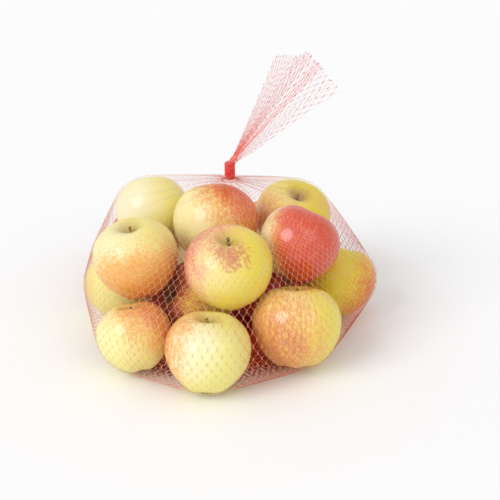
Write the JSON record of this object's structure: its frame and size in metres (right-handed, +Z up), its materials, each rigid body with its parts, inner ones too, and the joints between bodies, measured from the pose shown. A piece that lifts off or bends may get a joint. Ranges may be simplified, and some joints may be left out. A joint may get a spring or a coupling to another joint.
{
  "type": "mesh produce bag",
  "caption": "Net bag of diamond mesh filled with apples, gathered into a clip at the neck with a flared loose tail above it, closed by a second clip under the pile.",
  "frame": {"origin": "centre of the bag on the surface it rests on", "axes": "+Z up, -Y to the front as pictured, +X to the right, the side to which the tail leans"},
  "size_m": [0.2578, 0.276, 0.2414],
  "materials": {
    "net": "thin translucent red netting",
    "clip": "gloss red band",
    "apple_yellow": "waxy yellow skin with a light blush",
    "apple_orange": "waxy yellow skin with an orange blush",
    "apple_red": "waxy skin with a strong red blush",
    "stem": "dry dark stem",
    "calyx": "dry flower end"
  },
  "bodies": {
    "net": {"net_bag": "net", "base_bundle": "net", "base_clip": "clip", "base_tuft": "net"},
    "closure": {"neck_bundle": "net", "neck_clip": "clip"},
    "tail": {"net_tail": "net"},
    "fruit_01": {"apple_01": "apple_yellow", "stem_01": "stem", "calyx_01": "calyx"},
    "fruit_02": {"apple_02": "apple_orange", "stem_02": "stem", "calyx_02": "calyx"},
    "fruit_03": {"apple_03": "apple_yellow", "stem_03": "stem", "calyx_03": "calyx"},
    "fruit_04": {"apple_04": "apple_yellow", "stem_04": "stem", "calyx_04": "calyx"},
    "fruit_05": {"apple_05": "apple_yellow", "stem_05": "stem", "calyx_05": "calyx"},
    "fruit_06": {"apple_06": "apple_red", "stem_06": "stem", "calyx_06": "calyx"},
    "fruit_07": {"apple_07": "apple_orange", "stem_07": "stem", "calyx_07": "calyx"},
    "fruit_08": {"apple_08": "apple_red", "stem_08": "stem", "calyx_08": "calyx"},
    "fruit_09": {"apple_09": "apple_red", "stem_09": "stem", "calyx_09": "calyx"},
    "fruit_10": {"apple_10": "apple_orange", "stem_10": "stem", "calyx_10": "calyx"},
    "fruit_11": {"apple_11": "apple_orange", "stem_11": "stem", "calyx_11": "calyx"},
    "fruit_12": {"apple_12": "apple_red", "stem_12": "stem", "calyx_12": "calyx"},
    "fruit_13": {"apple_13": "apple_orange", "stem_13": "stem", "calyx_13": "calyx"},
    "fruit_14": {"apple_14": "apple_orange", "stem_14": "stem", "calyx_14": "calyx"},
    "fruit_15": {"apple_15": "apple_yellow", "stem_15": "stem", "calyx_15": "calyx"},
    "fruit_16": {"apple_16": "apple_yellow", "stem_16": "stem", "calyx_16": "calyx"}
  },
  "joints": [
    {"name": "clip_tilt", "type": "hinge", "parent": "net", "child": "closure", "pos_m": [0.00046, 0.00912, 0.12968], "axis": [1, 0, 0], "range_deg": [-18, 18], "stiffness_Nm_per_rad": 0.1},
    {"name": "tail_bend", "type": "hinge", "parent": "closure", "child": "tail", "pos_m": [0.00046, 0.00912, 0.14818], "axis": [0, 1, 0], "range_deg": [-50, 20], "stiffness_Nm_per_rad": 0.1},
    {"name": "turn_apple_01", "type": "hinge", "parent": "net", "child": "fruit_01", "pos_m": [0.09079, 0.01493, 0.03397], "axis": [0.25, 0.433, 0.866], "continuous": true},
    {"name": "turn_apple_02", "type": "hinge", "parent": "net", "child": "fruit_02", "pos_m": [0.05311, -0.06727, 0.03606], "axis": [0, 0.342, 0.9397], "continuous": true},
    {"name": "turn_apple_03", "type": "hinge", "parent": "net", "child": "fruit_03", "pos_m": [-0.01539, -0.10152, 0.0327], "axis": [0.0302, 0.171, 0.9848], "continuous": true},
    {"name": "turn_apple_04", "type": "hinge", "parent": "net", "child": "fruit_04", "pos_m": [-0.07361, -0.07412, 0.03008], "axis": [-0.171, 0.2962, 0.9397], "continuous": true},
    {"name": "turn_apple_05", "type": "hinge", "parent": "net", "child": "fruit_05", "pos_m": [-0.09074, 0.0115, 0.03397], "axis": [-0.6634, 0.383, 0.6428], "continuous": true},
    {"name": "turn_apple_06", "type": "hinge", "parent": "net", "child": "fruit_06", "pos_m": [0.02571, 0.0115, 0.03341], "axis": [0.9254, -0.3368, 0.1736], "continuous": true},
    {"name": "turn_apple_07", "type": "hinge", "parent": "net", "child": "fruit_07", "pos_m": [-0.02224, 0.05603, 0.03493], "axis": [-0.1632, 0.9254, 0.342], "continuous": true},
    {"name": "turn_apple_08", "type": "hinge", "parent": "net", "child": "fruit_08", "pos_m": [-0.02909, -0.02275, 0.03361], "axis": [-0.75, -0.433, 0.5], "continuous": true},
    {"name": "turn_apple_09", "type": "hinge", "parent": "net", "child": "fruit_09", "pos_m": [-0.08046, 0.0937, 0.03475], "axis": [-0.5826, 0.6943, 0.4226], "continuous": true},
    {"name": "turn_apple_10", "type": "hinge", "parent": "net", "child": "fruit_10", "pos_m": [0.03256, 0.10055, 0.03516], "axis": [0.483, 0.8365, 0.2588], "continuous": true},
    {"name": "turn_apple_11", "type": "hinge", "parent": "net", "child": "fruit_11", "pos_m": [0.00047, -0.05902, 0.08283], "axis": [0, -0.1736, 0.9848], "continuous": true},
    {"name": "turn_apple_12", "type": "hinge", "parent": "net", "child": "fruit_12", "pos_m": [0.0567, -0.01795, 0.08282], "axis": [0.4545, 0.4545, 0.766], "continuous": true},
    {"name": "turn_apple_13", "type": "hinge", "parent": "net", "child": "fruit_13", "pos_m": [-0.01154, 0.01312, 0.08802], "axis": [0, 0.6428, 0.766], "continuous": true},
    {"name": "turn_apple_14", "type": "hinge", "parent": "net", "child": "fruit_14", "pos_m": [-0.07374, -0.03516, 0.07928], "axis": [-0.1736, 0, 0.9848], "continuous": true},
    {"name": "turn_apple_15", "type": "hinge", "parent": "net", "child": "fruit_15", "pos_m": [-0.06849, 0.04987, 0.08232], "axis": [-0.2418, 0.6645, 0.7071], "continuous": true},
    {"name": "turn_apple_16", "type": "hinge", "parent": "net", "child": "fruit_16", "pos_m": [0.05378, 0.05309, 0.07556], "axis": [0.1962, -0.2802, 0.9397], "continuous": true}
  ]
}
